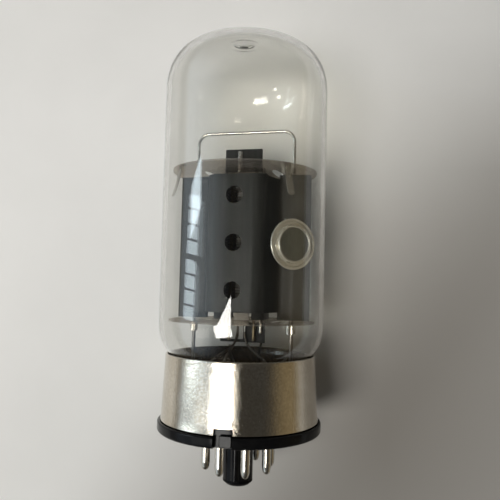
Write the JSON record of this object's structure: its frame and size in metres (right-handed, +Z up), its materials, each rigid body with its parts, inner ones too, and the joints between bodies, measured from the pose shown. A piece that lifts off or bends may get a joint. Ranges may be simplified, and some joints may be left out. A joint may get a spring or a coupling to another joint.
{
  "type": "vacuum tube",
  "caption": "Large octal-base audio power tube: straight clear glass bulb, metal base sleeve, keyed plug and pins, visible anode cage between mica discs.",
  "frame": {"origin": "centre of the flat end of the locating plug", "axes": "+Z up along the tube's axis from the plug to the dome; the plug's key points to -Y"},
  "size_m": [0.044, 0.044, 0.119],
  "materials": {
    "clear_glass": "clear, gloss",
    "nickel_sleeve": "satin nickel plate, slightly mottled",
    "black_phenolic": "black, semi-gloss",
    "brown_cement": "matte brown",
    "tinned_pin": "tinned, solder tip",
    "mica": "translucent brownish mica",
    "carbonised_plate": "dark charcoal, semi-gloss",
    "dark_wire": "oxidised wire",
    "nickel_wire": "bright nickel",
    "gold_wire": "plated wire",
    "white_coating": "matte white oxide",
    "getter_nickel": "stamped, satin cream nickel"
  },
  "bodies": {
    "root": {"glass_bulb": "clear_glass", "glass_stem": "clear_glass", "exhaust_tube": "clear_glass", "base_sleeve": "nickel_sleeve", "base_wafer": "black_phenolic", "base_cement": "brown_cement", "pin_1": "tinned_pin", "pin_2": "tinned_pin", "pin_3": "tinned_pin", "pin_4": "tinned_pin", "pin_5": "tinned_pin", "pin_7": "tinned_pin", "pin_8": "tinned_pin", "top_mica": "mica", "bottom_mica": "mica", "anode_front": "carbonised_plate", "anode_back": "carbonised_plate", "support_rod_left": "dark_wire", "support_rod_right": "dark_wire", "rod_collar_left": "nickel_wire", "rod_collar_right": "nickel_wire", "top_hoop": "nickel_wire", "beam_plate_left": "carbonised_plate", "beam_plate_right": "carbonised_plate", "cathode_sleeve": "white_coating", "cathode_top_tab": "nickel_wire", "heater": "white_coating", "control_grid_winding": "gold_wire", "control_grid_rod_left": "gold_wire", "control_grid_rod_right": "gold_wire", "screen_grid_winding": "nickel_wire", "screen_grid_rod_left": "nickel_wire", "screen_grid_rod_right": "nickel_wire", "top_radiator": "carbonised_plate", "bottom_radiator": "carbonised_plate", "getter_pan": "getter_nickel", "getter_holder": "nickel_wire", "snubber_front_left": "nickel_wire", "snubber_front_right": "nickel_wire", "snubber_back_left": "nickel_wire", "snubber_back_right": "nickel_wire", "shell_lead_1": "dark_wire", "heater_lead_2": "dark_wire", "anode_lead_3": "dark_wire", "screen_lead_4": "dark_wire", "grid_lead_5": "dark_wire", "heater_lead_7": "dark_wire", "cathode_lead_8": "dark_wire"}
  },
  "joints": []
}
